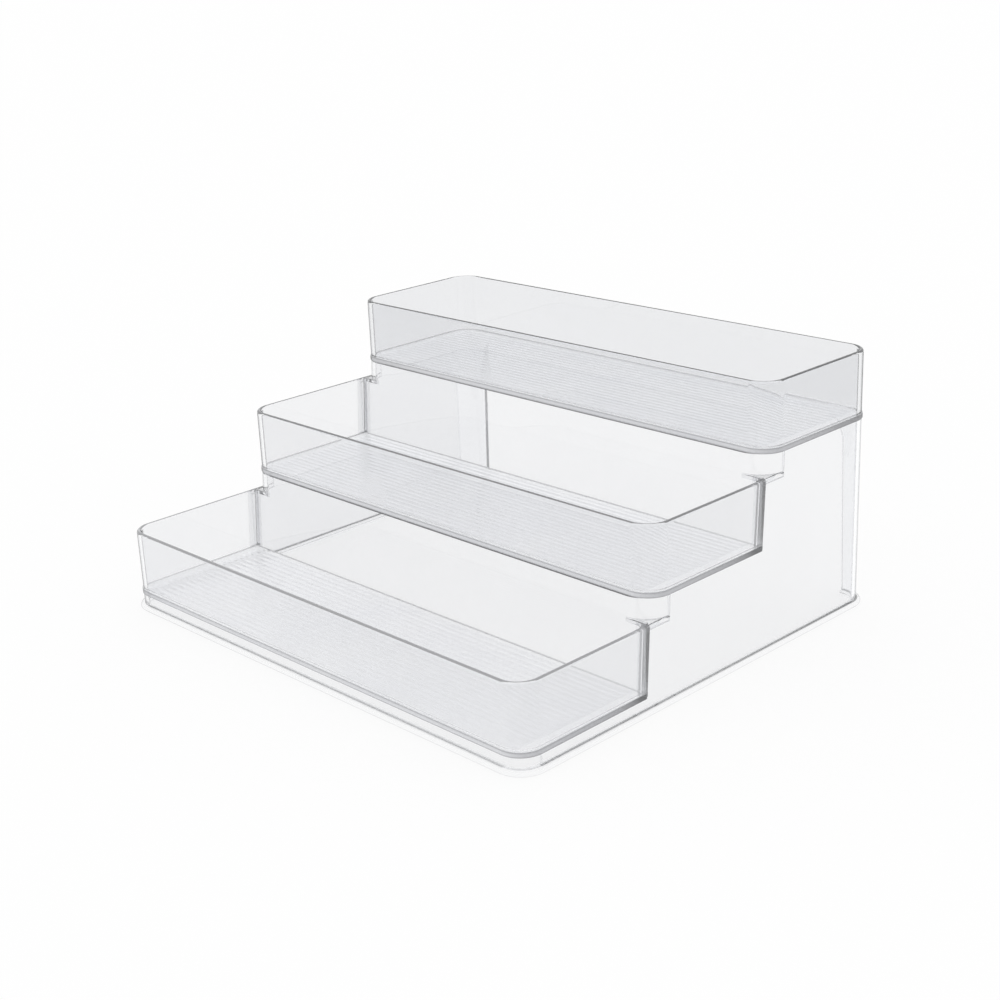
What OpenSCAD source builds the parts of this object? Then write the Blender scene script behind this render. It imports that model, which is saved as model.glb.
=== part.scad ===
// Tiered organizer: three clear ribbed trays that rise to the back on one hollow stepped body.
// Lengths in millimetres. +Z is up, and the origin is the middle of the ground rectangle.

/* [Body] */
// Width over the rails and side panels
body_w = 300; // [240:1:360]
// Depth over the front rail and the rear frame
body_d = 260; // [230:1:310]
// Distance from one tray's front to the next one's
tier_run = 86.5; // [70:0.5:95]
// Height from one tray to the next
tier_rise = 47; // [44:0.5:60]
// Wall thickness of rails, panels and risers
wall_t = 2.4; // [1.8:0.1:3]
// Outer radius of the upright corners
corner_r = 12.5; // [9:0.5:18]

/* [Base rim] */
// Height of the foot rim
rim_h = 2.6; // [1.6:0.1:4]
// How far the foot rim stands out from the body
rim_lip = 2.4; // [1.2:0.1:4]
// How far the foot rim reaches in past the walls
rim_land = 1.2; // [0.6:0.1:3]

/* [Floors] */
// Height of the lower floor's underside above the ground
floor_level = 8.6; // [7:0.1:16]
// Thickness of each floor between its ribs
floor_t = 2.8; // [1.8:0.1:4]
// How far each floor's edge stands out from the rails
floor_proud = 0.5; // [0.2:0.1:1.2]
// Distance from one rib to the next
rib_pitch = 4; // [3:0.1:8]
// Height of the ribs
rib_h = 0.4; // [0.2:0.1:1.2]
// Share of the pitch that a rib's foot takes
rib_foot_share = 0.5; // [0.3:0.05:0.7]
// Share of the pitch that a rib's top takes
rib_top_share = 0.15; // [0.05:0.05:0.25]
// Plain margin between the rib ends and the side rails
rib_end_gap = 5; // [3:0.5:10]

/* [Rails] */
// Height of the lower rail's top above the ground
rail_level = 44.8; // [38:0.1:50]
// Radius of the hollow at the foot of each rail
foot_r = 1.0; // [0.6:0.1:3]
// Radius of the hollows where the side rails meet a riser
end_r = 5; // [3:0.5:8]
// Thickness left at the thin edge of a hollow
edge_t = 0.3; // [0.2:0.1:0.5]

/* [Risers] */
// How far a riser's foot stands ahead of the rail above it
riser_foot = 4.4; // [2:0.1:6]
// How far a riser's head stands ahead of the rail above it
riser_head = 1.4; // [0.5:0.1:1.6]
// Outer radius of a riser's corners above the ledges
riser_r = 15; // [9:0.5:18]
// Thickness of the corner ledges beside each riser
ledge_t = 2.4; // [1.6:0.1:4]

/* [Rear opening] */
// Flat width left between each rear corner and the opening at the ground
leg_foot_w = 2.5; // [1:0.5:40]
// Flat width left between each rear corner and the opening at its top
leg_top_w = 5; // [1:0.5:45]
// Height of the strip left between the opening and the top floor
header_h = 4; // [3:0.5:40]
// Radius of the rear opening's upper corners
opening_r = 13; // [6:0.5:20]

/* [Hidden] */
$fn = 96;
// run-out of cutters past the faces they cut
overrun = 1;
// the tiers are numbered 0, 1 and 2 from the front
top = 2;
// edges of the body
right_x = body_w / 2;
front_y = -body_d / 2;
rear_y = body_d / 2;
// centres of the upright corners
corner_x = right_x - corner_r;
inner_r = corner_r - wall_t;
// front of tray k, and its end at the foot of the riser behind it
function tray_front(k) = front_y + k * tier_run;
function tray_end(k) = tray_front(k + 1) - riser_foot;
// heights of the floors, rails and ledges
function floor_under(k) = floor_level + k * tier_rise;
function floor_top(k) = floor_under(k) + floor_t;
function ledge_top(k) = rail_level + k * tier_rise;
rail_h = rail_level - floor_level - floor_t;
// risers lean back: depth of riser k's front face at height z, and of its corners above the ledges
riser_lean = (riser_foot - riser_head) / (tier_rise - floor_t);
function riser_face(k, z) = tray_end(k) + riser_lean * (z - floor_top(k));
function bend_front(k) = riser_face(k, (ledge_top(k) + floor_under(k + 1)) / 2);
riser_x = right_x - riser_r;
// ribs
rib_start = wall_t + foot_r + edge_t;
rib_len = body_w - 2 * (wall_t + rib_end_gap);
rib_foot = rib_pitch * rib_foot_share;
rib_top = rib_pitch * rib_top_share;
// rear opening: its foot, its top, the slant of its sides and the centres of its upper corners
opening_foot_x = corner_x - leg_foot_w;
opening_h = floor_under(top) - header_h;
opening_lean = atan2(leg_top_w - leg_foot_w, opening_h);
bend_z = opening_h - opening_r;
bend_x = opening_foot_x - bend_z * tan(opening_lean) - opening_r / cos(opening_lean);

clear = [0.86, 0.88, 0.92, 0.45];

// a section drawn as [outward, up] runs along -y for len, beside a corner centre at the origin
module straight(len) {
    rotate([90, 0, 0])
        linear_extrude(len)
            translate([corner_r, 0])
                children();
}

// the same section turned a quarter round an upright corner
module bend(r = corner_r) {
    rotate_extrude(angle = 90)
        translate([r, 0])
            children();
}

// front run and both front corners of a section, with the outer face at y
module front_part(y) {
    translate([corner_x, y + corner_r, 0])
        rotate([0, 0, -90])
            straight(2 * corner_x)
                children();
    translate([corner_x, y + corner_r, 0])
        rotate([0, 0, -90])
            bend()
                children();
    translate([-corner_x, y + corner_r, 0])
        rotate([0, 0, 180])
            bend()
                children();
}

// both side runs of a section between two depths
module side_parts(y0, y1) {
    translate([corner_x, y1, 0])
        straight(y1 - y0)
            children();
    translate([-corner_x, y0, 0])
        rotate([0, 0, 180])
            straight(y1 - y0)
                children();
}

// both rear corners of a section
module rear_corners() {
    translate([corner_x, rear_y - corner_r, 0])
        bend()
            children();
    translate([-corner_x, rear_y - corner_r, 0])
        rotate([0, 0, 90])
            bend()
                children();
}

// rear run of a section between two widths
module rear_part(x0, x1) {
    translate([x0, rear_y - corner_r, 0])
        rotate([0, 0, 90])
            straight(x1 - x0)
                children();
}

// plain wall section between two heights
module wall_section(z0, z1) {
    translate([-wall_t, z0])
        square([wall_t, z1 - z0]);
}

// foot rim section with a round outer edge
module rim_section() {
    union() {
        translate([-wall_t - rim_land, 0])
            square([wall_t + rim_land + rim_lip - rim_h / 2, rim_h]);
        translate([rim_lip - rim_h / 2, rim_h / 2])
            circle(d = rim_h);
    }
}

// rail section with a round top and a hollow at its foot
module rail_section() {
    union() {
        translate([-wall_t, 0])
            square([wall_t, rail_h - wall_t / 2]);
        translate([-wall_t / 2, rail_h - wall_t / 2])
            circle(d = wall_t);
        translate([-wall_t - foot_r, 0])
            difference() {
                square([foot_r, foot_r + edge_t]);
                translate([0, foot_r + edge_t])
                    circle(r = foot_r);
            }
    }
}

// upright corner fill with a hollow face, for a corner at the origin and room at -x and -y
module end_cove() {
    side = end_r + edge_t;
    difference() {
        translate([-side, -side])
            square(side);
        translate([-side, -side])
            circle(r = end_r);
    }
}

// the corner fill leaned back with its riser, cut level at its foot and at its top
module leaning_cove(height) {
    side = end_r + edge_t;
    intersection() {
        translate([-side, -side, 0])
            cube([side, side + height * riser_lean, height]);
        rotate([-atan(riser_lean), 0, 0])
            translate([0, 0, -overrun])
                linear_extrude(height + 2 * overrun)
                    end_cove();
    }
}

// rounded outline of a tray that ends square at y1
module tray_outline(y0, y1) {
    union() {
        translate([-corner_x, y0 - floor_proud])
            square([2 * corner_x, y1 - y0 + floor_proud]);
        translate([-right_x - floor_proud, y0 + corner_r])
            square([body_w + 2 * floor_proud, y1 - y0 - corner_r]);
        for (s = [-1, 1])
            translate([s * corner_x, y0 + corner_r])
                circle(r = corner_r + floor_proud);
    }
}

// rounded outline of the closed top tray
module top_outline(y0) {
    union() {
        tray_outline(y0, rear_y - corner_r);
        translate([-corner_x, y0])
            square([2 * corner_x, rear_y + floor_proud - y0]);
        for (s = [-1, 1])
            translate([s * corner_x, rear_y - corner_r])
                circle(r = corner_r + floor_proud);
    }
}

// ribs across a floor, from the front rail's foot to depth y1
module ribs(y0, y1) {
    count = floor((y1 - y0 - rib_start - rib_foot) / rib_pitch) + 1;
    for (i = [0 : count - 1])
        translate([-rib_len / 2, y0 + rib_start + i * rib_pitch, floor_t])
            rotate([90, 0, 90])
                linear_extrude(rib_len)
                    polygon([[0, 0], [rib_foot, 0],
                             [(rib_foot + rib_top) / 2, rib_h], [(rib_foot - rib_top) / 2, rib_h]]);
}

// floor of tray k that ends at its riser
module tray_floor(k) {
    y0 = tray_front(k);
    y1 = tray_end(k);
    translate([0, 0, floor_under(k)])
        union() {
            linear_extrude(floor_t)
                tray_outline(y0, y1);
            ribs(y0, y1 - edge_t);
        }
}

// rail of tray k round its front and sides, with coves where it meets the riser
module tray_rail(k) {
    y0 = tray_front(k);
    y1 = tray_end(k);
    translate([0, 0, floor_top(k)])
        union() {
            front_part(y0)
                rail_section();
            side_parts(y0 + corner_r, y1)
                rail_section();
            for (s = [0, 1])
                mirror([s, 0, 0])
                    translate([right_x - wall_t, y1, 0])
                        leaning_cove(rail_h - ledge_t);
        }
}

// leaning plate of riser k between two heights
module riser_plate(k, z0, z1, width) {
    translate([-width / 2, 0, 0])
        rotate([90, 0, 90])
            linear_extrude(width)
                polygon([[riser_face(k, z0), z0], [riser_face(k, z0) + wall_t, z0],
                         [riser_face(k, z1) + wall_t, z1], [riser_face(k, z1), z1]]);
}

// riser behind tray k: a plate between the side panels, with rounded corners above the ledges
module riser(k) {
    z_ledge = ledge_top(k) - ledge_t;
    union() {
        translate([-right_x + wall_t, tray_end(k), floor_under(k)])
            cube([body_w - 2 * wall_t, wall_t, floor_t]);
        riser_plate(k, floor_top(k), z_ledge, body_w - 2 * wall_t);
        riser_plate(k, z_ledge, floor_under(k + 1), 2 * riser_x);
        for (s = [0, 1])
            mirror([s, 0, 0])
                translate([riser_x, bend_front(k) + riser_r, 0])
                    rotate([0, 0, -90])
                        bend(riser_r)
                            wall_section(ledge_top(k), floor_under(k + 1));
    }
}

// right-hand ledge that closes the corner beside riser k, with a tongue that meets the rail
module right_ledge(k) {
    reach = bend_front(k) - tray_end(k);
    translate([riser_x, bend_front(k), ledge_top(k) - ledge_t])
        linear_extrude(ledge_t)
            union() {
                difference() {
                    square(riser_r);
                    translate([0, riser_r])
                        circle(r = riser_r - wall_t);
                }
                translate([riser_r - wall_t, -reach])
                    square([wall_t, reach + wall_t]);
            }
}

// stepped side panel, outer face at x = 0
module side_panel() {
    y_bend = [for (k = [0 : top - 1]) bend_front(k) + riser_r];
    z_ledge = [for (k = [0 : top - 1]) ledge_top(k) - ledge_t];
    rotate([90, 0, 90])
        linear_extrude(wall_t)
            polygon([
                [front_y + corner_r, rim_h],
                [front_y + corner_r, floor_under(0)],
                [tray_end(0), floor_under(0)],
                [tray_end(0), z_ledge[0]],
                [y_bend[0], z_ledge[0]],
                [y_bend[0], floor_under(1)],
                [tray_end(1), floor_under(1)],
                [tray_end(1), z_ledge[1]],
                [y_bend[1], z_ledge[1]],
                [y_bend[1], floor_under(top)],
                [rear_y - corner_r, floor_under(top)],
                [rear_y - corner_r, rim_h]
            ]);
}

// outline of the rear opening, drawn as [x, z]
module opening_outline() {
    tangent_x = bend_x + opening_r * cos(opening_lean);
    tangent_z = bend_z + opening_r * sin(opening_lean);
    union() {
        polygon([[-opening_foot_x, 0], [opening_foot_x, 0],
                 [tangent_x, tangent_z], [bend_x, opening_h],
                 [-bend_x, opening_h], [-tangent_x, tangent_z]]);
        for (s = [-1, 1])
            translate([s * bend_x, bend_z])
                circle(r = opening_r);
    }
}

module base_rim() {
    color(clear)
        union() {
            front_part(front_y)
                rim_section();
            side_parts(front_y + corner_r, rear_y - corner_r)
                rim_section();
            rear_corners()
                rim_section();
            rear_part(-corner_x, -opening_foot_x)
                rim_section();
            rear_part(opening_foot_x, corner_x)
                rim_section();
        }
}

module front_skirt() {
    color(clear)
        front_part(front_y)
            wall_section(rim_h, floor_under(0));
}

module left_side() {
    color(clear)
        translate([-right_x, 0, 0])
            side_panel();
}

module right_side() {
    color(clear)
        translate([right_x - wall_t, 0, 0])
            side_panel();
}

module lower_riser() {
    color(clear)
        riser(0);
}

module upper_riser() {
    color(clear)
        riser(1);
}

module rear_frame() {
    color(clear)
        union() {
            difference() {
                translate([-corner_x, rear_y - wall_t, rim_h])
                    cube([2 * corner_x, wall_t, floor_under(top) - rim_h]);
                translate([0, rear_y + overrun, 0])
                    rotate([90, 0, 0])
                        linear_extrude(wall_t + 2 * overrun)
                            opening_outline();
            }
            rear_corners()
                wall_section(rim_h, floor_under(top));
        }
}

module lower_floor() {
    color(clear)
        tray_floor(0);
}

module middle_floor() {
    color(clear)
        tray_floor(1);
}

module top_floor() {
    color(clear)
        translate([0, 0, floor_under(top)])
            union() {
                linear_extrude(floor_t)
                    top_outline(tray_front(top));
                ribs(tray_front(top), rear_y - rib_start);
            }
}

module lower_rail() {
    color(clear)
        tray_rail(0);
}

module middle_rail() {
    color(clear)
        tray_rail(1);
}

module top_rail() {
    color(clear)
        translate([0, 0, floor_top(top)])
            union() {
                front_part(tray_front(top))
                    rail_section();
                side_parts(tray_front(top) + corner_r, rear_y - corner_r)
                    rail_section();
                rear_corners()
                    rail_section();
                rear_part(-corner_x, corner_x)
                    rail_section();
            }
}

module lower_left_ledge() {
    color(clear)
        mirror([1, 0, 0])
            right_ledge(0);
}

module lower_right_ledge() {
    color(clear)
        right_ledge(0);
}

module middle_left_ledge() {
    color(clear)
        mirror([1, 0, 0])
            right_ledge(1);
}

module middle_right_ledge() {
    color(clear)
        right_ledge(1);
}

base_rim();
front_skirt();
left_side();
right_side();
lower_riser();
upper_riser();
rear_frame();
lower_floor();
middle_floor();
top_floor();
lower_rail();
middle_rail();
top_rail();
lower_left_ledge();
lower_right_ledge();
middle_left_ledge();
middle_right_ledge();
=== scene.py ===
"""Clear tiered organizer: the look of each moulded piece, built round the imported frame.

Laid out as a Blender add-on. Run as a script it builds every piece, the materials and the studio.
"""

import math
from types import SimpleNamespace

import bmesh
import bpy
import numpy as np
from bpy.props import FloatProperty, FloatVectorProperty, PointerProperty
from mathutils import Matrix, Vector


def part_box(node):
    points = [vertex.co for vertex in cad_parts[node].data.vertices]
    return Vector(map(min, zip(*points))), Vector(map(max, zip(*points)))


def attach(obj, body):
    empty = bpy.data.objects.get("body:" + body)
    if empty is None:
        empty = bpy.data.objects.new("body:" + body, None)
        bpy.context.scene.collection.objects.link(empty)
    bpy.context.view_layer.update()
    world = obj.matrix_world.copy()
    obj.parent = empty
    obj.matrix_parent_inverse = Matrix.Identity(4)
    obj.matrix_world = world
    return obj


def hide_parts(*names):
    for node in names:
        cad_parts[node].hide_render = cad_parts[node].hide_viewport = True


bl_info = {
    "name": "Clear tiered organizer",
    "version": (1, 0, 0),
    "blender": (4, 5, 0),
    "location": "3D View > Sidebar > Organizer",
    "description": "Builds a clear stepped organizer with three ribbed trays",
    "category": "Add Mesh",
}

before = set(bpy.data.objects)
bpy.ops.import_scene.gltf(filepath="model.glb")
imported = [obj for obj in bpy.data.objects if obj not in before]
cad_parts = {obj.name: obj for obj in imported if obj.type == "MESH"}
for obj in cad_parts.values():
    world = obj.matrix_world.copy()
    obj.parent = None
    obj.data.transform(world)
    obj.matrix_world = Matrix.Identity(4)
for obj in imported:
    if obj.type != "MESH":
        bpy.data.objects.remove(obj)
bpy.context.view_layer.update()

MM = 0.001
# how far one moulded piece runs into the next, so that light crosses the seam
SINK = 0.04 * MM
# hair's gap at level seams and riser ends, where a moulded edge shows as a line of its own
GAP = 0.02 * MM
# a narrow flat strip beside every rounding keeps the wide flats flat
HOLD = 0.15 * MM
# slack where points are picked by their place
HAIR = 0.01 * MM
# a depth or height past the whole body
FAR = 1.0
# the top tray, counted from 0 at the front
TOP = 2

# steps round an upright corner, round the edge of a rail or ledge, and along the pitch of a rib
CORNER_STEPS, EDGE_STEPS, RIB_STEPS = 24, 6, 12
# points closer than the first are joined, and edges shorter than the second are dropped
JOIN, DROP = 1e-6, 1e-7
# edges that turn by less than this many degrees are smooth
SMOOTH_ANGLE = 35

# colours of painted shade for dark lines and outlines, of the cooler clouds in the painted glow,
# and of plain light and dark
PAINTED_SHADE, COOL = (0.03, 0.032, 0.035, 1.0), (0.94, 0.95, 1.0, 1.0)
WHITE, BLACK = (1.0, 1.0, 1.0, 1.0), (0.0, 0.0, 0.0, 1.0)
# share by which the plastic's two tones differ from the middle one, and how fine its clouds are
CLOUDINESS, GRAIN = 0.012, 28.0
# how far a face turns from the view where painted shade starts to darken a wall and where it is
# darkest
GRAZING = (0.60, 0.92)
# the same for the painted shade on the outline of the upright corners
OUTLINE = (0.50, 0.74)
# share by which painted shade darkens walls and rails at a grazing view
RIM_SHARE = 0.9
# heights above the foot rim where the painted line of shade on the walls starts to fade and where
# it ends
FOOT_LINE = (0.05 * MM, 0.45 * MM)
# how strongly that line shows on the side panels
SIDE_FOOT = 0.75
# width of the strip of painted shade beside the walls on the foot rim's top
RIM_STRIP = 0.7 * MM
# fine lines of painted shade at a floor's edge, in radii of its rounding: how high they reach, over
# how much of that they fade, and where the band between them begins
LINE_REACH, LINE_FADE, BAND_START = 2.8, 1.3, 0.9
# how dark the painted shade at the ends of a riser's wings is, at the left and at the right
WING_ENDS = (0.35, 0.8)
# how dark the painted shade on the outline of the left and right corners is: on the skirt, the
# rear frame and the floors, and on the rails from the lowest up
SKIRT_OUTLINE_SHADE, REAR_OUTLINE_SHADE, FLOOR_OUTLINE_SHADE = (0.6, 0.6), (0.15, 0.15), (0.85, 0.9)
RAIL_OUTLINE_SHADE = ((0.65, 0.65), (0.75, 0.65), (0.5, 0.9))

# the ground reaches this far each way, in metres, and the camera sees this share of it as white
GROUND_REACH, WHITE_SHARE = 6.0, 0.9
# the camera: its turn, height and roll in degrees, its distance and the point that it is aimed at
# in metres, and its focal length and image width in pixels over a sensor's width in millimetres
CAMERA_ANGLES = (46.181, 19.805, -2.496)
CAMERA_DISTANCE, CAMERA_AIM = 0.864172, (0.028927, -0.020, 0.071184)
FOCAL_LENGTH, IMAGE_WIDTH, SENSOR_WIDTH = 1695.018, 1000.0, 36.0


def frame_sizes():
    """Main sizes of the organizer, read from the boxes of the frame's nodes."""
    rail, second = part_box("lower_rail"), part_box("middle_rail")
    floor, next_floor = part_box("lower_floor"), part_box("middle_floor")
    side, skirt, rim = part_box("right_side"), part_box("front_skirt"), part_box("base_rim")
    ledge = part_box("lower_right_ledge")
    return {
        "body_w": rail[1].x - rail[0].x,
        "body_d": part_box("top_rail")[1].y - rail[0].y,
        "tier_run": second[0].y - rail[0].y,
        "tier_rise": next_floor[0].z - floor[0].z,
        "wall_t": side[1].x - side[0].x,
        "corner_r": skirt[1].y - skirt[0].y,
        "rim_h": rim[1].z,
        "rim_lip": rim[1].x - rail[1].x,
        "floor_level": floor[0].z,
        "floor_t": rail[0].z - floor[0].z,
        "floor_proud": floor[1].x - rail[1].x,
        "rail_level": rail[1].z,
        "ledge_t": ledge[1].z - ledge[0].z,
    }


FRAME = frame_sizes()


def length(name, description, default):
    """A length property of the organizer, in metres."""
    return FloatProperty(name=name, description=description, default=default, min=0.0,
                         subtype="DISTANCE", unit="LENGTH", precision=5)


def tint(name, description, default):
    """A colour property of the organizer."""
    return FloatVectorProperty(name=name, description=description, default=default, size=3,
                               subtype="COLOR", min=0.0, max=1.0)


class OrganizerSizes(bpy.types.PropertyGroup):
    """Sizes of the organizer's pieces."""

    body_w: length("Body width", "Width over the rails and side panels", FRAME["body_w"])
    body_d: length("Body depth", "Depth over the front rail and the rear frame", FRAME["body_d"])
    tier_run: length("Tier run", "Distance from one tray's front to the next", FRAME["tier_run"])
    tier_rise: length("Tier rise", "Height from one tray to the next", FRAME["tier_rise"])
    wall_t: length("Wall", "Thickness of rails, panels and risers", FRAME["wall_t"])
    corner_r: length("Corner radius", "Outer radius of the upright corners", FRAME["corner_r"])
    rim_h: length("Foot rim height", "Height of the foot rim", FRAME["rim_h"])
    rim_lip: length("Foot rim lip", "How far the foot rim stands out", FRAME["rim_lip"])
    rim_land: length("Foot rim land", "How far the foot rim reaches in past the walls", 0.0012)
    floor_level: length("Floor level", "Height of the lower floor's underside",
                        FRAME["floor_level"])
    floor_t: length("Floor", "Thickness of each floor between its ribs", FRAME["floor_t"])
    floor_proud: length("Floor edge", "How far each floor's edge stands out",
                        FRAME["floor_proud"])
    floor_edge_r: length("Floor edge radius", "Rounding of each floor's edge", 0.0003)
    rib_pitch: length("Rib pitch", "Distance from one rib to the next", 0.004)
    rib_h: FloatVectorProperty(name="Rib heights", description="Height of the ribs, from the "
                               "lowest floor up", default=(0.00014, 0.000095, 0.000065), size=3,
                               min=0.0, subtype="XYZ_LENGTH", unit="LENGTH", precision=6)
    rib_start: length("Rib start", "Plain margin between the front rail and the ribs", 0.0013)
    rib_margin: length("Rib margin", "Plain margin between the rib ends and the rails", 0.005)
    rail_level: length("Rail level", "Height of the lower rail's top", FRAME["rail_level"])
    foot_r: length("Rail foot radius", "Radius of the hollow at a rail's foot", 0.0006)
    end_r: length("Rail end radius", "Radius of the hollows where rails meet a riser", 0.0050)
    riser_foot: length("Riser foot", "How far a riser's foot stands ahead of the rail above",
                       0.0044)
    riser_head: length("Riser head", "How far a riser's top stands ahead of the rail above",
                       0.0014)
    riser_r: length("Riser corner radius", "Radius of a riser's corners above the ledges", 0.0150)
    ledge_t: length("Ledge", "Thickness of the corner ledges", FRAME["ledge_t"])
    leg_foot_w: length("Leg foot", "Flat width beside the rear opening at the ground", 0.0025)
    leg_top_w: length("Leg top", "Flat width beside the rear opening at its top", 0.0050)
    header_h: length("Header", "Height of the strip above the rear opening", 0.0040)
    opening_r: length("Opening radius", "Radius of the rear opening's upper corners", 0.0130)
    opening_edge_r: length("Opening edge", "Rounding of the rear opening's edge", 0.0004)


class OrganizerColours(bpy.types.PropertyGroup):
    """Colours of the clear plastic and of the studio."""

    wall_tone: tint("Wall tone", "Light that one panel, riser or ledge lets through",
                    (0.907, 0.910, 0.918))
    rail_tone: tint("Rail tone", "Light that one open tray's rail lets through",
                    (0.904, 0.907, 0.914))
    top_rail_tone: tint("Top rail tone", "Light that the top tray's rail lets through",
                        (0.850, 0.855, 0.866))
    rear_tone: tint("Rear frame tone", "Light that the rear frame lets through",
                    (0.945, 0.948, 0.956))
    floor_tone: tint("Floor tone", "Light that one ribbed floor lets through",
                     (0.918, 0.921, 0.928))
    # painted glow: the inner light is emission that stands in for the light that the clear walls
    # gather from the bright studio and carry to their dark lines
    wall_glow: FloatProperty(name="Wall inner light", default=0.02, min=0.0, max=1.0,
                             description="Light that haze in the plastic sends back at each face")
    rear_glow: FloatProperty(name="Rear frame inner light", default=0.07, min=0.0, max=1.0,
                             description="The same light for the rear frame")
    floor_glow: FloatProperty(name="Floor inner light", default=0.087, min=0.0, max=1.0,
                              description="The same light for the ribbed floors")
    rail_glow: FloatVectorProperty(name="Rail inner light", default=(0.055, 0.035, 0.020), size=3,
                                   min=0.0, max=1.0,
                                   description="The same light for the rails, from the lowest up")
    ground: tint("Ground", "Colour of the studio's ground", (0.95, 0.95, 0.95))
    backdrop: tint("Backdrop", "Colour of the studio's backdrop", (1.0, 1.0, 1.0))


def layout(scene):
    """Named positions worked out from the sizes: edges of the body, levels of the trays."""
    s = scene.organizer_sizes
    p = SimpleNamespace(**{k: getattr(s, k) for k in s.__annotations__})
    p.right_x, p.front_y, p.rear_y = p.body_w / 2, -p.body_d / 2, p.body_d / 2
    p.corner_x = p.right_x - p.corner_r
    p.rail_h = p.rail_level - p.floor_level - p.floor_t
    p.tray_front = lambda k: p.front_y + k * p.tier_run
    p.floor_under = lambda k: p.floor_level + k * p.tier_rise
    p.floor_top = lambda k: p.floor_under(k) + p.floor_t
    p.ledge_top = lambda k: p.rail_level + k * p.tier_rise
    p.riser_face = lambda k, z: p.tray_front(k + 1) - np.interp(
        z, [p.floor_top(k), p.floor_under(k + 1)], [p.riser_foot, p.riser_head])
    p.tray_end = lambda k: p.tray_front(k + 1) - p.riser_foot
    return p


# Surfaces: every one is a grid of points.


def arc(cx, cy, radius, start, end, steps):
    """Points on a circle about (cx, cy), from one angle to another in degrees."""
    a = np.radians(np.linspace(start, end, steps + 1))
    return np.stack([cx + radius * np.cos(a), cy + radius * np.sin(a)], axis=1)


def chain(*parts):
    """Points and runs of points joined into one line of points."""
    return np.vstack([np.atleast_2d(np.asarray(p, float)) for p in parts])


def closed(points):
    """The same line of points, ended where it began."""
    return np.vstack([points, points[:1]])


def bends(*runs):
    """A path round upright corners. Each run is (x, y, from, to): a corner centre and the angles
    that the outward direction turns through there."""
    rows = []
    for x, y, start, end in runs:
        a = np.radians(np.linspace(start, end, CORNER_STEPS + 1 if start != end else 1))
        rows.append(np.stack([np.full_like(a, x), np.full_like(a, y), a], axis=1))
    return np.vstack(rows)


def hold_bends(path):
    """The same path with a station just before and just after each bend, so that the straight
    runs stay flat."""
    out = [path[:1]]
    for a, b in zip(path[:-1], path[1:]):
        gap = np.hypot(*(b[:2] - a[:2]))
        if gap > 4 * HOLD:
            step = (b - a) * HOLD / gap
            step[2] = 0
            out.append(np.stack([a + step, b - step]))
        out.append(b[None])
    return np.vstack(out)


def sweep(p, path, profile):
    """A profile of (outward, up) points carried along a path: each point keeps its distance from
    the path's corner centres, centre + direction * (corner radius + outward), at its own height."""
    reach = p.corner_r + profile[:, 0]
    x = path[:, :1] + np.cos(path[:, 2:]) * reach
    y = path[:, 1:2] + np.sin(path[:, 2:]) * reach
    z = np.broadcast_to(profile[:, 1], x.shape)
    return np.stack([x, y, z], axis=2)


def stack(loops, heights):
    """Level outlines with the same number of points, one at each height."""
    loops = np.asarray(loops, float)
    z = np.broadcast_to(np.asarray(heights, float)[:, None, None], loops.shape[:2] + (1,))
    return np.concatenate([loops, z], axis=2)


def prism(outline, z0, z1):
    """An outline carried straight up: one closed strip and two level faces."""
    grid = stack([closed(outline), closed(outline)], [z0, z1])
    return [grid], [grid[0, :-1], grid[1, :-1]]


def turned(grids, axes):
    """The same points with their coordinates in another order."""
    return [g[..., list(axes)] for g in grids]


def mirrored(grids):
    """The same points on the other side of the plane x = 0."""
    return [g * np.array([-1.0, 1.0, 1.0]) for g in grids]


def skin(name, grids, faces=()):
    """One closed mesh from grids of points and flat faces that share their edges. Points that
    meet are joined, faces are turned outwards, and only edges that turn little are smooth."""
    points, polygons, start = [], [], 0
    for g in grids:
        n, m = g.shape[:2]
        index = np.arange(n * m).reshape(n, m) + start
        polygons += np.stack([index[:-1, :-1], index[1:, :-1], index[1:, 1:], index[:-1, 1:]],
                             axis=-1).reshape(-1, 4).tolist()
        points.append(g.reshape(-1, 3))
        start += n * m
    for f in faces:
        polygons.append(list(range(start, start + len(f))))
        points.append(f)
        start += len(f)
    mesh = bpy.data.meshes.new(name)
    mesh.from_pydata(np.vstack(points).tolist(), [], polygons)
    work = bmesh.new()
    work.from_mesh(mesh)
    bmesh.ops.remove_doubles(work, verts=work.verts, dist=JOIN)
    bmesh.ops.dissolve_degenerate(work, edges=work.edges, dist=DROP)
    bmesh.ops.recalc_face_normals(work, faces=work.faces)
    open_edges = sum(not e.is_manifold for e in work.edges)
    work.to_mesh(mesh)
    work.free()
    if open_edges:
        raise RuntimeError(f"{name} has {open_edges} open edges")
    mesh.shade_smooth()
    mesh.set_sharp_from_angle(angle=math.radians(SMOOTH_ANGLE))
    obj = bpy.data.objects.new(name, mesh)
    bpy.context.scene.collection.objects.link(obj)
    return obj


def shade(obj, name, rule):
    """Writes a share from 0 to 1 for each point of a piece: rule(x, y, z) on whole arrays of
    points. The shares are painted shade: "edge" for dark lines, "foot" for the line above the foot
    rim and "bend" for the dark outline of the corners."""
    points = np.empty(len(obj.data.vertices) * 3)
    obj.data.vertices.foreach_get("co", points)
    value = np.clip(rule(*points.reshape(-1, 3).T), 0, 1)
    obj.data.attributes.new(name, "FLOAT", "POINT").data.foreach_set("value", value)
    return obj


def dress(obj, node, material):
    """Gives a piece its material and sets it in place of its frame node."""
    obj.data.materials.append(material)
    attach(obj, "root")
    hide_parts(node)


# Shaders: sums of wires and one method make all nodes.


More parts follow.
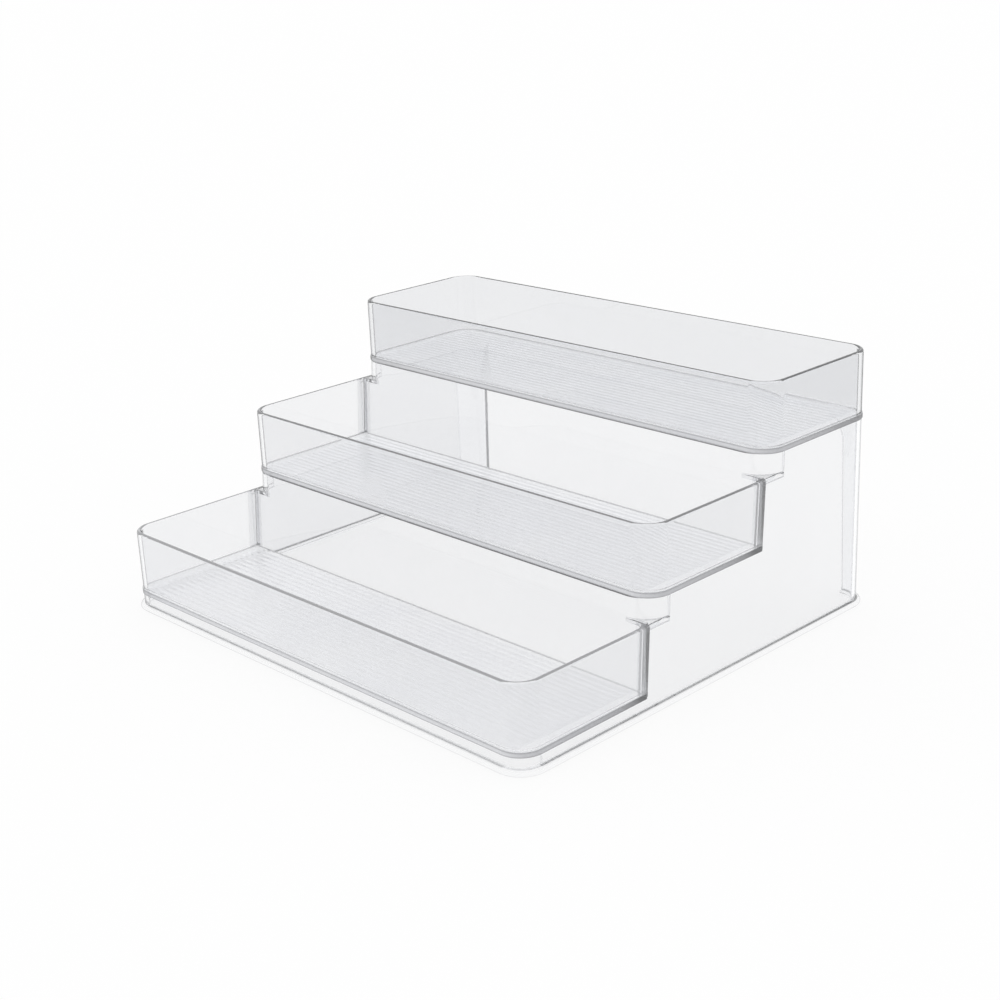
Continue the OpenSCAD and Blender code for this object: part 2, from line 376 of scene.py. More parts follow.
class Wire:
    """A value in a shader. Sums, differences and products of wires add their Math nodes."""

    def __init__(self, shader, socket):
        self.shader, self.socket = shader, socket

    def _math(self, operation, first, second):
        return self.shader.node("ShaderNodeMath", {"operation": operation}, {0: first, 1: second})

    def __add__(self, other):
        return self._math("ADD", self, other)

    def __radd__(self, other):
        return self._math("ADD", other, self)

    def __sub__(self, other):
        return self._math("SUBTRACT", self, other)

    def __rsub__(self, other):
        return self._math("SUBTRACT", other, self)

    def __mul__(self, other):
        return self._math("MULTIPLY", self, other)

    def __rmul__(self, other):
        return self._math("MULTIPLY", other, self)


class Shader:
    """A new node material and the one method that adds nodes to it."""

    def __init__(self, name):
        self.material = bpy.data.materials.new(name)
        self.material.use_nodes = True
        self.tree = self.material.node_tree
        self.tree.nodes.clear()

    def node(self, kind, settings=None, values=None, output=0):
        """Adds a node, sets its settings first and then its sockets, and returns one output."""
        made = self.tree.nodes.new(kind)
        for key, value in (settings or {}).items():
            setattr(made, key, value)
        for key, value in (values or {}).items():
            if isinstance(value, Wire):
                self.tree.links.new(value.socket, made.inputs[key])
            else:
                made.inputs[key].default_value = value
        return Wire(self, made.outputs[output]) if made.outputs else None

    def mix(self, factor, first, second):
        """A colour between two colours. The mix node keeps a set of sockets for each kind of
        value, and its colours are found by number only."""
        return self.node("ShaderNodeMix", {"data_type": "RGBA"},
                         {0: factor, 6: first, 7: second}, output=2)

    def ramp(self, value, span, low=0.0, high=1.0):
        """A value that goes smoothly from low to high while another one crosses a span."""
        return self.node("ShaderNodeMapRange", {"interpolation_type": "SMOOTHSTEP"},
                         {"Value": value, "From Min": span[0], "From Max": span[1],
                          "To Min": low, "To Max": high})

    def share(self, name):
        """What the pieces say about each of their points under a name."""
        return self.node("ShaderNodeAttribute", {"attribute_name": name}, output="Fac")


def tint_for(tone, glow):
    """The tint at which one wall lets a tone through. A wall has two faces, each lets through the
    root of its tint and adds the painted glow: tone = tint + glow * (1 + root of tint)."""
    root = (math.sqrt(glow * glow + 4 * (tone - glow)) - glow) / 2
    return root * root


def clear_plastic(name, tone, glow, rim=0.0, foot=None):
    """Polished clear plastic. Noise on Object coordinates mixes two close tones, as in a moulding
    whose wall varies. Each face also gives a painted glow in cooler clouds. Four marks of painted
    shade darken it: the piece's own edge share, a grazing view by the rim share, a fine line just
    above the foot rim where the foot share says so, and the outline of the upright corners, which
    turns to a dark diffuse by the bend share."""
    s = Shader(name)
    middle = [tint_for(t, glow) for t in tone]
    place = s.node("ShaderNodeTexCoord", output="Object")
    cloud = s.node("ShaderNodeTexNoise", {"noise_dimensions": "3D"},
                   {"Vector": place, "Scale": GRAIN, "Detail": 2.0})
    dense = tuple(c * (1 - CLOUDINESS) for c in middle) + (1.0,)
    thin = tuple(min(1.0, c * (1 + CLOUDINESS)) for c in middle) + (1.0,)
    # inner is the colour of the painted glow, in cooler and whiter clouds
    body, inner = s.mix(cloud, dense, thin), s.mix(cloud, COOL, WHITE)
    facing = s.node("ShaderNodeLayerWeight", None, {"Blend": 0.5}, output="Facing")
    outside = 1.0 - s.node("ShaderNodeNewGeometry", output="Backfacing")
    dark = s.share("edge")
    # painted shade at a grazing view, standing in for the dark studio reflected at the silhouettes
    if rim:
        dark = dark + s.ramp(facing, GRAZING, 0.0, rim) * outside
    if foot is not None:
        height = s.node("ShaderNodeSeparateXYZ", None, {0: place}, output="Z")
        line = s.ramp(height, [foot + h for h in FOOT_LINE], 1.0, 0.0)
        dark = dark + line * s.share("foot")
    dark = s.node("ShaderNodeClamp", None, {0: dark})
    shader = s.node("ShaderNodeBsdfPrincipled", None, {
        "Base Color": s.mix(dark, body, PAINTED_SHADE), "Roughness": 0.0, "IOR": 1.49,
        "Transmission Weight": 1.0, "Emission Color": s.mix(dark, inner, BLACK),
        "Emission Strength": glow})
    # painted shade on the corners' outline: a dark diffuse mixed in at a grazing view
    outline_shade = s.node("ShaderNodeBsdfDiffuse", None, {"Color": PAINTED_SHADE})
    outline = s.ramp(facing, OUTLINE) * outside * s.share("bend")
    shader = s.node("ShaderNodeMixShader", None, {0: outline, 1: shader, 2: outline_shade})
    s.node("ShaderNodeOutputMaterial", None, {"Surface": shader})
    return s.material


def wall_material(scene):
    """The clear plastic of the base, panels, risers and ledges."""
    c = scene.organizer_colours
    return bpy.data.materials.get("clear wall") or clear_plastic(
        "clear wall", c.wall_tone, c.wall_glow, rim=RIM_SHARE,
        foot=scene.organizer_sizes.rim_h)


def rear_material(scene):
    """The clear plastic of the rear frame."""
    c = scene.organizer_colours
    return clear_plastic("clear rear frame", c.rear_tone, c.rear_glow, rim=RIM_SHARE)


def rail_material(scene, k):
    """The clear plastic of tray k's rail."""
    c = scene.organizer_colours
    # each rail's painted glow falls from the lowest up, as less light from the ground reaches the
    # higher rails
    tone = c.top_rail_tone if k == TOP else c.rail_tone
    return clear_plastic(("clear lower rail", "clear middle rail", "clear top rail")[k], tone,
                         c.rail_glow[k], rim=RIM_SHARE)


def floor_material(scene):
    """The clear plastic of the ribbed floors."""
    c = scene.organizer_colours
    return bpy.data.materials.get("clear ribbed floor") or clear_plastic(
        "clear ribbed floor", c.floor_tone, c.floor_glow)


# Profiles: points (outward, up) from the outer face of the walls.


def wall_profile(p, z0, z1):
    """Plain wall: a rectangle between the outer face and the wall's thickness."""
    return chain([0, z0], [0, z1], [-p.wall_t, z1], [-p.wall_t, z0])


def rim_profile(p):
    """Foot rim: flat inside, a half circle of the rim's height outside."""
    r = p.rim_h / 2
    nose = p.rim_lip - r
    return chain([-p.wall_t - p.rim_land, 0], [nose - HOLD, 0], arc(nose, r, r, -90, 90, steps=12),
                 [nose - HOLD, p.rim_h], [RIM_STRIP, p.rim_h], [0, p.rim_h],
                 [-p.wall_t - p.rim_land, p.rim_h])


def rail_profile(p):
    """Rail: flat faces, a half circle on top and a quarter hollow at its foot."""
    w, r, h, f = p.wall_t, p.wall_t / 2, p.rail_h, p.foot_r
    return chain([0, GAP], [0, h - r - HOLD], arc(-r, h - r, r, 0, 180, 2 * EDGE_STEPS),
                 [-w, h - r - HOLD], [-w, f + GAP + HOLD],
                 arc(-w - f, f + GAP, f, 0, -90, EDGE_STEPS))


def floor_profile(p):
    """Edge of a floor: two small roundings between its underside and its top, with a point where
    each line of painted shade ends."""
    r, out, t = p.floor_edge_r, p.floor_proud, p.floor_t
    line = LINE_REACH * r
    return chain([out - r - HOLD, 0], arc(out - r, r, r, -90, 0, steps=5), [out, r + HOLD],
                 [out, line], [out, t - line], [out, t - r - HOLD],
                 arc(out - r, t - r, r, 0, 90, steps=5), [out - r - HOLD, t])


# Paths: where the profiles are carried along.


def front_path(p, y0, y1):
    """From the left side at depth y1, round both front corners at y0, to the right side."""
    y = y0 + p.corner_r
    return hold_bends(bends((-p.corner_x, y1, 180, 180), (-p.corner_x, y, 180, 270),
                            (p.corner_x, y, 270, 360), (p.corner_x, y1, 0, 0)))


def ring_path(p, y0, y1):
    """Round all four upright corners and back to the start."""
    front, rear = y0 + p.corner_r, y1 - p.corner_r
    path = bends((-p.corner_x, front, 180, 270), (p.corner_x, front, 270, 360),
                 (p.corner_x, rear, 360, 450), (-p.corner_x, rear, 450, 540))
    return hold_bends(np.vstack([path, path[:1]]))


def rim_path(p):
    """From one edge of the rear opening round the whole body to the other."""
    foot_x = p.corner_x - p.leg_foot_w
    front, rear = p.front_y + p.corner_r, p.rear_y - p.corner_r
    return hold_bends(bends(
        (-foot_x, rear, 90, 90), (-p.corner_x, rear, 90, 180), (-p.corner_x, front, 180, 270),
        (p.corner_x, front, 270, 360), (p.corner_x, rear, 360, 450), (foot_x, rear, 450, 450)))


# Pieces: grids of points and flat faces, and rules for the painted shade on them.


def open_sweep(p, path, profile):
    """A swept piece with a flat face at each end of its path."""
    grid = sweep(p, path, closed(profile))
    return [grid], [grid[0, :-1], grid[-1, :-1]]


def rib_sheet(p, k, y0, y1):
    """Ribs of floor k as one thin sheet over a flat underside just inside the floor: height = (low
    + rib height * (1 + cos(2 pi (y - first) / pitch)) / 2 * side fade) * side fade * end fade. The
    fades take it to nothing at the sheet's border."""
    low, sunk, under = 0.03 * MM, 0.02 * MM, 0.06 * MM
    side_run, end_run = 2.2 * MM, 0.3 * MM
    inward = np.array([0, 0.3, 0.7, 1.1, 1.6, 2.2, 3.0]) * MM
    first = y0 + p.wall_t + p.rib_start + p.rib_pitch / 2
    count = int((y1 - first) / p.rib_pitch + 0.5)
    half = p.body_w / 2 - p.wall_t - p.rib_margin
    y = np.linspace(first - p.rib_pitch / 2, first + (count - 0.5) * p.rib_pitch,
                    RIB_STEPS * count + 1)
    x = np.concatenate([-half + inward, half - inward[::-1]])
    ridge = 0.5 + 0.5 * np.cos(2 * np.pi * (y - first) / p.rib_pitch)
    side_fade = np.clip((half - np.abs(x)) / side_run, 0, 1)
    side_fade = side_fade * side_fade * (3 - 2 * side_fade)
    end_fade = np.clip(np.minimum(y - y[0], y[-1] - y) / end_run, 0, 1)
    lift = low + p.rib_h[k] * ridge[:, None] * side_fade
    top = p.floor_t - sunk + lift * side_fade * end_fade[:, None]
    x2, y2 = np.meshgrid(x, y)
    upper = np.stack([x2, y2, top], axis=2)
    lower = np.stack([x2, y2, np.full_like(top, p.floor_t - under)], axis=2)
    sides = [np.stack([upper[0], lower[0]]), np.stack([upper[-1], lower[-1]]),
             np.stack([upper[:, 0], lower[:, 0]]), np.stack([upper[:, -1], lower[:, -1]])]
    return [upper, lower] + sides


def raised(grids, z):
    """The same points, moved up."""
    return [g + np.array([0.0, 0.0, z]) for g in grids]


def tray_floor(p, k):
    """Floor of an open tray: its rounded edge carried round the front, closed at the riser."""
    y0, y1 = p.tray_front(k), p.tray_end(k)
    grid = sweep(p, front_path(p, y0, y1 + SINK), floor_profile(p))
    under, over = grid[:, 0], grid[:, -1]
    end = np.vstack([grid[0], grid[-1][::-1]])
    grids, faces = [grid] + rib_sheet(p, k, y0, y1), [under, over, end]
    return raised(grids, p.floor_under(k)), raised(faces, p.floor_under(k))


def top_floor(p):
    """Floor of the closed top tray: its rounded edge carried all the way round."""
    y0 = p.tray_front(TOP)
    grid = sweep(p, ring_path(p, y0, p.rear_y), floor_profile(p))
    grids = [grid] + rib_sheet(p, TOP, y0, p.rear_y - p.wall_t - p.rib_start)
    faces = [grid[:-1, 0], grid[:-1, -1]]
    return raised(grids, p.floor_under(TOP)), raised(faces, p.floor_under(TOP))


def past_centres(p, x, y, y0, y1):
    """How far points lie across and along past the corner centres of walls that stand from depth
    y0 to y1. Both are more than zero only in the upright corners."""
    front, rear = y0 + p.corner_r, y1 - p.corner_r
    return np.maximum(np.abs(x) - p.corner_x, 0), np.maximum(np.maximum(front - y, y - rear), 0)


def outward(p, x, y, y0, y1):
    """Distance of points from the outer face of walls that stand from depth y0 to y1."""
    return np.hypot(*past_centres(p, x, y, y0, y1)) - p.corner_r


def corner_bend(p, y0, y1, z0, z1, outline_shade):
    """How dark the painted shade on the outline of the upright corners is between two heights: one
    share for the left corners and one for the right ones, times sin(2 * angle) squared round the
    bend, so that it is full at the bend's middle and nothing on the flats."""
    def rule(x, y, z):
        across, along = past_centres(p, x, y, y0, y1)
        # the square millimetre only keeps points on the flats from a division by nothing
        middle = 2 * across * along / np.maximum(across ** 2 + along ** 2, MM * MM)
        share = np.where(x < 0, *outline_shade) * middle ** 2
        return np.where((z > z0) & (z < z1), share, 0.0)
    return rule


def floor_edge(p, k):
    """How dark the painted shade on a floor's edge is: two fine lines at its roundings, and between
    them a band that deepens along the sides from the front corners to the riser."""
    z0, t, r = p.floor_under(k), p.floor_t, p.floor_edge_r
    start, run = p.tray_front(k) + p.corner_r, p.tier_run - p.corner_r
    band, band_gain = 0.42, 0.42
    line, side_gain, back_gain = 0.48, 0.15, 0.20

    def rule(x, y, z):
        side = np.clip((np.abs(x) - p.corner_x) / p.corner_r, 0, 1)
        back = np.clip((y - start) / run, 0, 1)
        level = np.minimum(z - z0, z0 + t - z)
        near = np.clip((LINE_REACH * r - level) / (LINE_FADE * r), 0, 1)
        outer = (level > HAIR) & (outward(p, x, y, p.tray_front(k), p.rear_y) > -p.wall_t / 2)
        flat = side * (band + band_gain * back) * (level > BAND_START * r)
        lines = (line + side * (side_gain + back_gain * back)) * near
        return np.where(outer, np.maximum(flat, lines), 0.0)
    return rule


def round_edge(r, low, high):
    """An upright outer edge with a quarter circle at its top, as the rails have: how far it falls
    back at each of its heights, and the heights."""
    turn = np.radians(np.linspace(0, 90, EDGE_STEPS + 1))
    fall = np.concatenate([[0, 0], r * (1 - np.cos(turn))])
    return fall, np.concatenate([[low, high - r - HOLD], high - r + r * np.sin(turn)])


def end_hollow(p, k):
    """Fill in the upright corner between the right rail and its riser: its face is a quarter
    circle that leans with the riser, and near the top the circle widens as the rail's round top
    falls away."""
    R = p.end_r
    fall, z = round_edge(p.wall_t / 2, GAP, p.rail_h)
    a = np.radians(np.linspace(90, 0, 2 * EDGE_STEPS + 1))
    loops = []
    for inset in fall:
        x = np.minimum(-R + (R + inset) * np.cos(a), inset + SINK)
        y = np.minimum(-R + (R + inset) * np.sin(a), SINK)
        loops.append(chain([inset + SINK, SINK], [-R - SINK, SINK], np.stack([x, y], axis=1),
                           [inset + SINK, -R - SINK]))
    back = p.riser_face(k, z + p.floor_top(k))
    shift = np.stack([np.full_like(back, p.right_x - p.wall_t), back], axis=1)
    grid = stack(np.stack([closed(loop) for loop in loops]) + shift[:, None], z)
    return [grid], [grid[0, :-1], grid[-1, :-1]]


def tray_rail(p, k):
    """Rail of an open tray with the hollow corners at its riser."""
    path = front_path(p, p.tray_front(k), p.tray_end(k) + SINK)
    grids, faces = open_sweep(p, path, rail_profile(p))
    fill, caps = end_hollow(p, k)
    grids, faces = grids + fill + mirrored(fill), faces + caps + mirrored(caps)
    return raised(grids, p.floor_top(k)), raised(faces, p.floor_top(k))


def top_rail(p):
    """Closed rail of the top tray."""
    grid = sweep(p, ring_path(p, p.tray_front(TOP), p.rear_y), closed(rail_profile(p)))
    return raised([grid], p.floor_top(TOP)), []


def riser(p, k):
    """Riser behind a tray: a leaning plate between the side panels, with a wing on each side up to
    the ledges' top, and above them a wall that turns round both corners. The plate's depth at a
    height is read off the line from its foot to its head."""
    w, R = p.wall_t, p.riser_r
    zs = np.array([p.floor_under(k), p.floor_top(k), p.ledge_top(k) - SINK,
                   p.floor_under(k + 1) - GAP])
    front = p.riser_face(k, zs)
    depths = (front, front + w)
    # the bend's outer face passes the plate's inner one at this angle, after mid steps
    leave, mid, rest = math.acos(1 - w / R), 8, 16
    x0, x1, x2 = p.right_x - R, p.right_x - w - GAP, p.right_x - R + R * math.sin(leave)
    span = (x0, x2, x1 - 2 * HOLD, x1)
    a = np.concatenate([np.linspace(0, leave, mid + 1),
                        np.linspace(leave, math.pi / 2, rest + 1)[1:]])
    outer, inner = (np.stack([np.column_stack([
        x0 + r * np.sin(a), y + R - r * np.cos(a), np.full_like(a, z)])
        for y, z in zip(front[2:], zs[2:])]) for r in (R, R - w))
    plate = [np.stack(np.broadcast_arrays(np.array([[-x0], [x0]]), y, zs), axis=2) for y in depths]
    plate += [np.array([[[x, y[j], zs[j]] for y in depths] for x in (-x0, x0)]) for j in (0, -1)]
    wing = [np.array([[[x, y[j], zs[j]] for x in span] for j in (0, 1, 2)]) for y in depths]
    wing += [np.array([[[x, y[0], zs[0]] for x in span] for y in depths])]
    side = wing + [outer, inner, np.stack([outer[-1], inner[-1]])]
    corner = [[x, front[2], zs[2]] for x in span[1:]] + [
        [x, front[2] + w, zs[2]] for x in span[:1:-1]]
    caps = [chain(corner, outer[0, mid::-1]), chain(outer[0, mid:], inner[0, ::-1]),
            chain(outer[:, -1], inner[::-1, -1]),
            np.array([[x1, depths[i][j], zs[j]] for i, j in (
                (0, 0), (0, 1), (0, 2), (1, 2), (1, 1), (1, 0))])]
    return plate + side + mirrored(side), caps + mirrored(caps)


def side_panel(p):
    """Right-hand stepped panel: its outline carried through the wall's thickness."""
    front, rear = p.front_y + p.corner_r, p.rear_y - p.corner_r
    low = p.rim_h - SINK
    steps = [[front, low], [front, p.floor_under(0) - GAP]]
    for k in range(TOP):
        face, bend = p.tray_end(k), p.riser_face(k, p.ledge_top(k)) + p.riser_r
        shelf = p.ledge_top(k) - p.ledge_t
        steps += [[face, p.floor_under(k) - GAP], [face, shelf], [bend, shelf],
                  [bend, p.floor_under(k + 1) - GAP]]
    steps += [[rear, p.floor_under(TOP) - GAP], [rear, low]]
    grids, faces = prism(np.array(steps), p.right_x - p.wall_t, p.right_x)
    return turned(grids, (2, 0, 1)), turned(faces, (2, 0, 1))


def rear_frame(p):
    """Rear plate with an arched opening and both rear corners. The opening's edge is a line of
    (across, up) points, and each point of its rounding is moved along the line's normal."""
    w, e, steps = p.wall_t, p.opening_edge_r, 18
    low, high = p.rim_h - SINK, p.floor_under(TOP) - GAP
    h = p.floor_under(TOP) - p.header_h
    foot_x = p.corner_x - p.leg_foot_w
    lean = math.atan2(p.leg_top_w - p.leg_foot_w, h)
    bend_z = h - p.opening_r
    bend_x = foot_x - bend_z * math.tan(lean) - p.opening_r / math.cos(lean)
    a = np.concatenate([[lean], np.linspace(lean, math.pi / 2, steps + 1),
                        np.linspace(math.pi / 2, math.pi - lean, steps + 1), [math.pi - lean]])
    x = bend_x * np.repeat([1, -1], steps + 2) + p.opening_r * np.cos(a)
    z = bend_z + p.opening_r * np.sin(a)
    x[0], z[0] = foot_x - low * math.tan(lean), low
    x[-1], z[-1] = -x[0], low
    inner_y, outer_y = p.rear_y - w, p.rear_y
    edge = chain([e + HOLD, inner_y], arc(e, inner_y + e, e, -90, -180, steps=4),
                 arc(e, outer_y - e, e, 180, 90, steps=4), [e + HOLD, outer_y])
    out = edge[:, 0]
    rise = np.sin(a)[:, None] * out
    rise[0] = rise[-1] = 0
    grid = np.stack([x[:, None] + np.cos(a)[:, None] * out,
                     np.broadcast_to(edge[:, 1], (len(a), len(out))), z[:, None] + rise], axis=2)
    rear = p.rear_y - p.corner_r
    hold = p.corner_x - HOLD
    turn = bends((hold, rear, 90, 90), (p.corner_x, rear, 90, 0),
                 (p.corner_x, rear - SINK, 0, 0))
    corner = sweep(p, turn, closed(wall_profile(p, low, high)))
    plates = [chain(grid[:, j], [-hold, y, low], [-hold, y, high], [hold, y, high], [hold, y, low])
              for j, y in ((0, inner_y), (-1, outer_y))]
    foot = [chain(grid[0], [hold, outer_y, low], [hold, inner_y, low])]
    top = [np.array([[[-hold, y, high], [hold, y, high]] for y in (inner_y, outer_y)])]
    caps = foot + [corner[-1, :-1]]
    return [grid, corner] + mirrored([corner]) + top, plates + caps + mirrored(caps)


def ledge(p, k):
    """Right-hand ledge behind a riser's plate: a square corner less the riser's inner circle, and
    a tongue that meets the rail. Its outer edge is rounded as the rail's top is."""
    y0, R, high = p.riser_face(k, p.ledge_top(k)), p.riser_r, p.ledge_top(k)
    x0, x1, y1 = p.right_x - R, p.right_x - p.wall_t, y0 + R + SINK
    fall, z = round_edge(p.wall_t / 2, high - p.ledge_t - SINK, high)
    loops = []
    for f, lean in zip(fall, p.riser_face(k, z) - y0):
        curve = arc(x0, y0 + R + lean, R - p.wall_t, 0, -90, steps=16)
        y = y0 + p.wall_t + lean
        loops.append(chain([x0 - SINK, y - SINK], [x1, y - SINK], [x1, p.tray_end(k)],
                           [p.right_x - f, p.tray_end(k)], [p.right_x - f, y1], [x1, y1], curve,
                           [x0 - SINK, y]))
    grid = stack([closed(loop) for loop in loops], z)
    return [grid], [grid[0, :-1], grid[-1, :-1]]


def wing_ends(p, k):
    """How dark the painted shade at the ends of a riser's wings is, where they meet the side
    panels.
    """
    end, front = p.right_x - p.wall_t - HOLD, p.tray_front(k + 1) + MM

    def rule(x, y, z):
        return np.where((np.abs(x) > end) & (y < front), np.where(x < 0, *WING_ENDS), 0.0)
    return rule


def side_foot(x, y, z):
    """How strongly the painted line of shade above the foot rim shows on the side panels: the same
    all along.
    """
    return np.full(len(x), SIDE_FOOT)


def skirt_foot(p):
    """How strongly the painted line of shade above the foot rim shows on the front skirt: it grows
    along the front towards the left, and the right-hand front corner has none."""
    middle, left_gain = 0.42, 0.2

    def rule(x, y, z):
        share = middle + left_gain * np.clip(-x / p.corner_x, 0, 1)
        return np.where(x > p.corner_x, 0.0, share)
    return rule


def rim_line(p):
    """How dark the painted shade on the foot rim's top is beside the walls: deeper and deeper along
    the sides, faint along the front and not at all round the front corners."""
    start = p.front_y + p.corner_r
    faint, side, side_gain, run = 0.28, 0.25, 0.65, 60 * MM

    def rule(x, y, z):
        out = outward(p, x, y, p.front_y, p.rear_y)
        beside = (z > p.rim_h - HAIR) & (out > -HAIR) & (out < RIM_STRIP + HAIR)
        along = np.where(np.abs(x) < p.corner_x + HAIR, faint, 0.0)
        deep = side + side_gain * np.clip((y - start) / run, 0, 1)
        return np.where(beside, np.where(y > start - HAIR, deep, along), 0.0)
    return rule


# Operators: each adds some of the pieces.


class ORGANIZER_OT_base(bpy.types.Operator):
    """Add the foot rim and the front skirt"""

    bl_idname = "organizer.base"
    bl_label = "Foot rim and skirt"
    bl_options = {"REGISTER", "UNDO"}

    def execute(self, context):
        p, clear = layout(context.scene), wall_material(context.scene)
        rim = skin("clear_base_rim", *open_sweep(p, rim_path(p), rim_profile(p)))
        dress(shade(rim, "edge", rim_line(p)), "base_rim", clear)
        path = front_path(p, p.front_y, p.front_y + p.corner_r + SINK)
        wall = wall_profile(p, p.rim_h - SINK, p.floor_under(0) - GAP)
        skirt = shade(skin("clear_front_skirt", *open_sweep(p, path, wall)), "foot", skirt_foot(p))
        shade(skirt, "bend", corner_bend(p, p.front_y, FAR, 0, FAR, SKIRT_OUTLINE_SHADE))
        dress(skirt, "front_skirt", clear)
        return {"FINISHED"}


class ORGANIZER_OT_panels(bpy.types.Operator):
    """Add both stepped side panels and the rear frame"""

    bl_idname = "organizer.panels"
    bl_label = "Side panels and rear frame"
    bl_options = {"REGISTER", "UNDO"}

    def execute(self, context):
        p, clear = layout(context.scene), wall_material(context.scene)
        grids, faces = side_panel(p)
        for side, flip in (("right", list), ("left", mirrored)):
            panel = skin(f"clear_{side}_side", flip(grids), flip(faces))
            dress(shade(panel, "foot", side_foot), f"{side}_side", clear)
        rear = shade(skin("clear_rear_frame", *rear_frame(p)), "bend",
                     corner_bend(p, -FAR, p.rear_y, 0, FAR, REAR_OUTLINE_SHADE))
        dress(rear, "rear_frame", rear_material(context.scene))
        return {"FINISHED"}


class ORGANIZER_OT_risers(bpy.types.Operator):
    """Add both risers and the four corner ledges"""

    bl_idname = "organizer.risers"
    bl_label = "Risers and ledges"
    bl_options = {"REGISTER", "UNDO"}

    def execute(self, context):
        p, clear = layout(context.scene), wall_material(context.scene)
        for k, tier in enumerate(("lower", "middle")):
            node = ("lower_riser", "upper_riser")[k]
            piece = skin(f"clear_{node}", *riser(p, k))
            dress(shade(piece, "edge", wing_ends(p, k)), node, clear)
            grids, faces = ledge(p, k)
            right, left = f"{tier}_right_ledge", f"{tier}_left_ledge"
            dress(skin(f"clear_{right}", grids, faces), right, clear)
            dress(skin(f"clear_{left}", mirrored(grids), mirrored(faces)), left, clear)
        return {"FINISHED"}


class ORGANIZER_OT_floors(bpy.types.Operator):
    """Add the three ribbed floors"""

    bl_idname = "organizer.floors"
    bl_label = "Ribbed floors"
    bl_options = {"REGISTER", "UNDO"}

    def execute(self, context):
        p, clear = layout(context.scene), floor_material(context.scene)
        for k, node in enumerate(("lower_floor", "middle_floor", "top_floor")):
            grids, faces = top_floor(p) if k == TOP else tray_floor(p, k)
            piece = shade(skin(f"clear_{node}", grids, faces), "edge", floor_edge(p, k))
            start = BAND_START * p.floor_edge_r
            shade(piece, "bend", corner_bend(p, p.tray_front(k), p.rear_y, p.floor_under(k) + start,
                                             p.floor_top(k) - start, FLOOR_OUTLINE_SHADE))
            dress(piece, node, clear)
        return {"FINISHED"}


class ORGANIZER_OT_rails(bpy.types.Operator):
    """Add the three rounded rails"""

    bl_idname = "organizer.rails"
    bl_label = "Rails"
    bl_options = {"REGISTER", "UNDO"}

    def execute(self, context):
        p = layout(context.scene)
        for k, node in enumerate(("lower_rail", "middle_rail", "top_rail")):
            grids, faces = top_rail(p) if k == TOP else tray_rail(p, k)
            piece = shade(skin(f"clear_{node}", grids, faces), "bend", corner_bend(
                p, p.tray_front(k), p.rear_y, 0, p.ledge_top(k) - p.wall_t / 2, RAIL_OUTLINE_SHADE[k]))
            dress(piece, node, rail_material(context.scene, k))
        return {"FINISHED"}


def ground_material(colour):
    """Pale ground that keeps a soft share of the shadow and is white to the camera, also where it
    is seen by reflection or through the clear plastic."""
    s = Shader("pale ground")
    camera, reflected, through = (s.node("ShaderNodeLightPath", output=f"Is {ray} Ray") for ray in (
        "Camera", "Reflection", "Transmission"))
    seen = s.node("ShaderNodeClamp", None, {0: camera + reflected + through})
    lit = s.node("ShaderNodeBsdfDiffuse", None, {"Color": (*colour, 1.0)})
    white = s.node("ShaderNodeEmission", None, {"Color": WHITE, "Strength": 1.0})
    mixed = s.node("ShaderNodeMixShader", None, {0: seen * WHITE_SHARE, 1: lit, 2: white})
    s.node("ShaderNodeOutputMaterial", None, {"Surface": mixed})
    return s.material


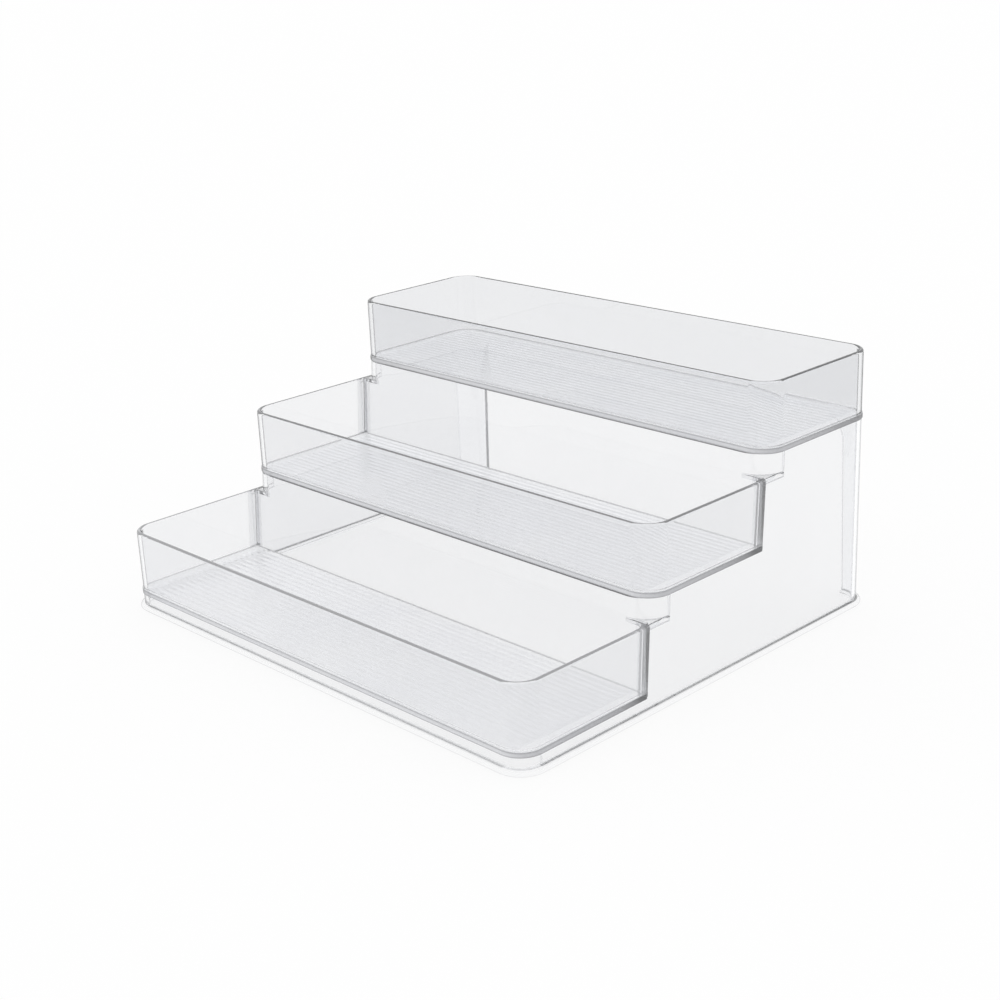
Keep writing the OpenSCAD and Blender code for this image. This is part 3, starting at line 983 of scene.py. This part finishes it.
class ORGANIZER_OT_stage(bpy.types.Operator):
    """Add the ground, the white studio world and the camera"""

    bl_idname = "organizer.stage"
    bl_label = "Studio"
    bl_options = {"REGISTER", "UNDO"}

    def execute(self, context):
        scene = context.scene
        colours = scene.organizer_colours
        mesh, far = bpy.data.meshes.new("ground"), GROUND_REACH
        mesh.from_pydata([(-far, -far, 0), (far, -far, 0), (far, far, 0), (-far, far, 0)], [],
                         [(0, 1, 2, 3)])
        ground = bpy.data.objects.new("ground", mesh)
        scene.collection.objects.link(ground)
        mesh.materials.append(ground_material(colours.ground))

        world = bpy.data.worlds.new("studio")
        scene.world = world
        world.use_nodes = True
        sky = world.node_tree.nodes["Background"]
        sky.inputs["Color"].default_value = (*colours.backdrop, 1.0)
        sky.inputs["Strength"].default_value = 1.0

        azimuth, elevation, roll = (math.radians(v) for v in CAMERA_ANGLES)
        back = Vector((math.sin(azimuth) * math.cos(elevation),
                       -math.cos(azimuth) * math.cos(elevation), math.sin(elevation)))
        right = (-back).cross(Vector((0, 0, 1))).normalized()
        up = right.cross(-back)
        across = right * math.cos(roll) + up * math.sin(roll)
        rise = up * math.cos(roll) - right * math.sin(roll)
        lens = bpy.data.cameras.new("camera")
        lens.sensor_width, lens.lens = SENSOR_WIDTH, FOCAL_LENGTH * SENSOR_WIDTH / IMAGE_WIDTH
        lens.clip_start, lens.clip_end = 0.01, 50.0
        camera = bpy.data.objects.new("camera", lens)
        camera.matrix_world = Matrix((across, rise, back)).transposed().to_4x4()
        camera.matrix_world.translation = Vector(CAMERA_AIM) + back * CAMERA_DISTANCE
        scene.collection.objects.link(camera)
        scene.camera = camera
        scene.view_settings.view_transform = "Standard"
        return {"FINISHED"}


BUILDERS = (
    ORGANIZER_OT_base,
    ORGANIZER_OT_panels,
    ORGANIZER_OT_risers,
    ORGANIZER_OT_floors,
    ORGANIZER_OT_rails,
    ORGANIZER_OT_stage,
)


class ORGANIZER_PT_panel(bpy.types.Panel):
    """Sizes, colours and pieces of the clear tiered organizer"""

    bl_idname = "ORGANIZER_PT_panel"
    bl_label = "Clear tiered organizer"
    bl_space_type = "VIEW_3D"
    bl_region_type = "UI"
    bl_category = "Organizer"

    def draw(self, context):
        for group in (context.scene.organizer_sizes, context.scene.organizer_colours):
            column = self.layout.column(align=True)
            for name in group.__annotations__:
                column.prop(group, name)
        for builder in BUILDERS:
            self.layout.operator(builder.bl_idname)


CLASSES = (OrganizerSizes, OrganizerColours, *BUILDERS, ORGANIZER_PT_panel)


def register():
    """Adds the sizes, colours, operators and panel to Blender."""
    for c in CLASSES:
        bpy.utils.register_class(c)
    bpy.types.Scene.organizer_sizes = PointerProperty(type=OrganizerSizes)
    bpy.types.Scene.organizer_colours = PointerProperty(type=OrganizerColours)


def unregister():
    """Takes them out of Blender again."""
    del bpy.types.Scene.organizer_colours
    del bpy.types.Scene.organizer_sizes
    for c in reversed(CLASSES):
        bpy.utils.unregister_class(c)


def main():
    """Builds the whole organizer and its studio."""
    register()
    bpy.ops.organizer.base()
    bpy.ops.organizer.panels()
    bpy.ops.organizer.risers()
    bpy.ops.organizer.floors()
    bpy.ops.organizer.rails()
    bpy.ops.organizer.stage()


if __name__ == "__main__":
    main()
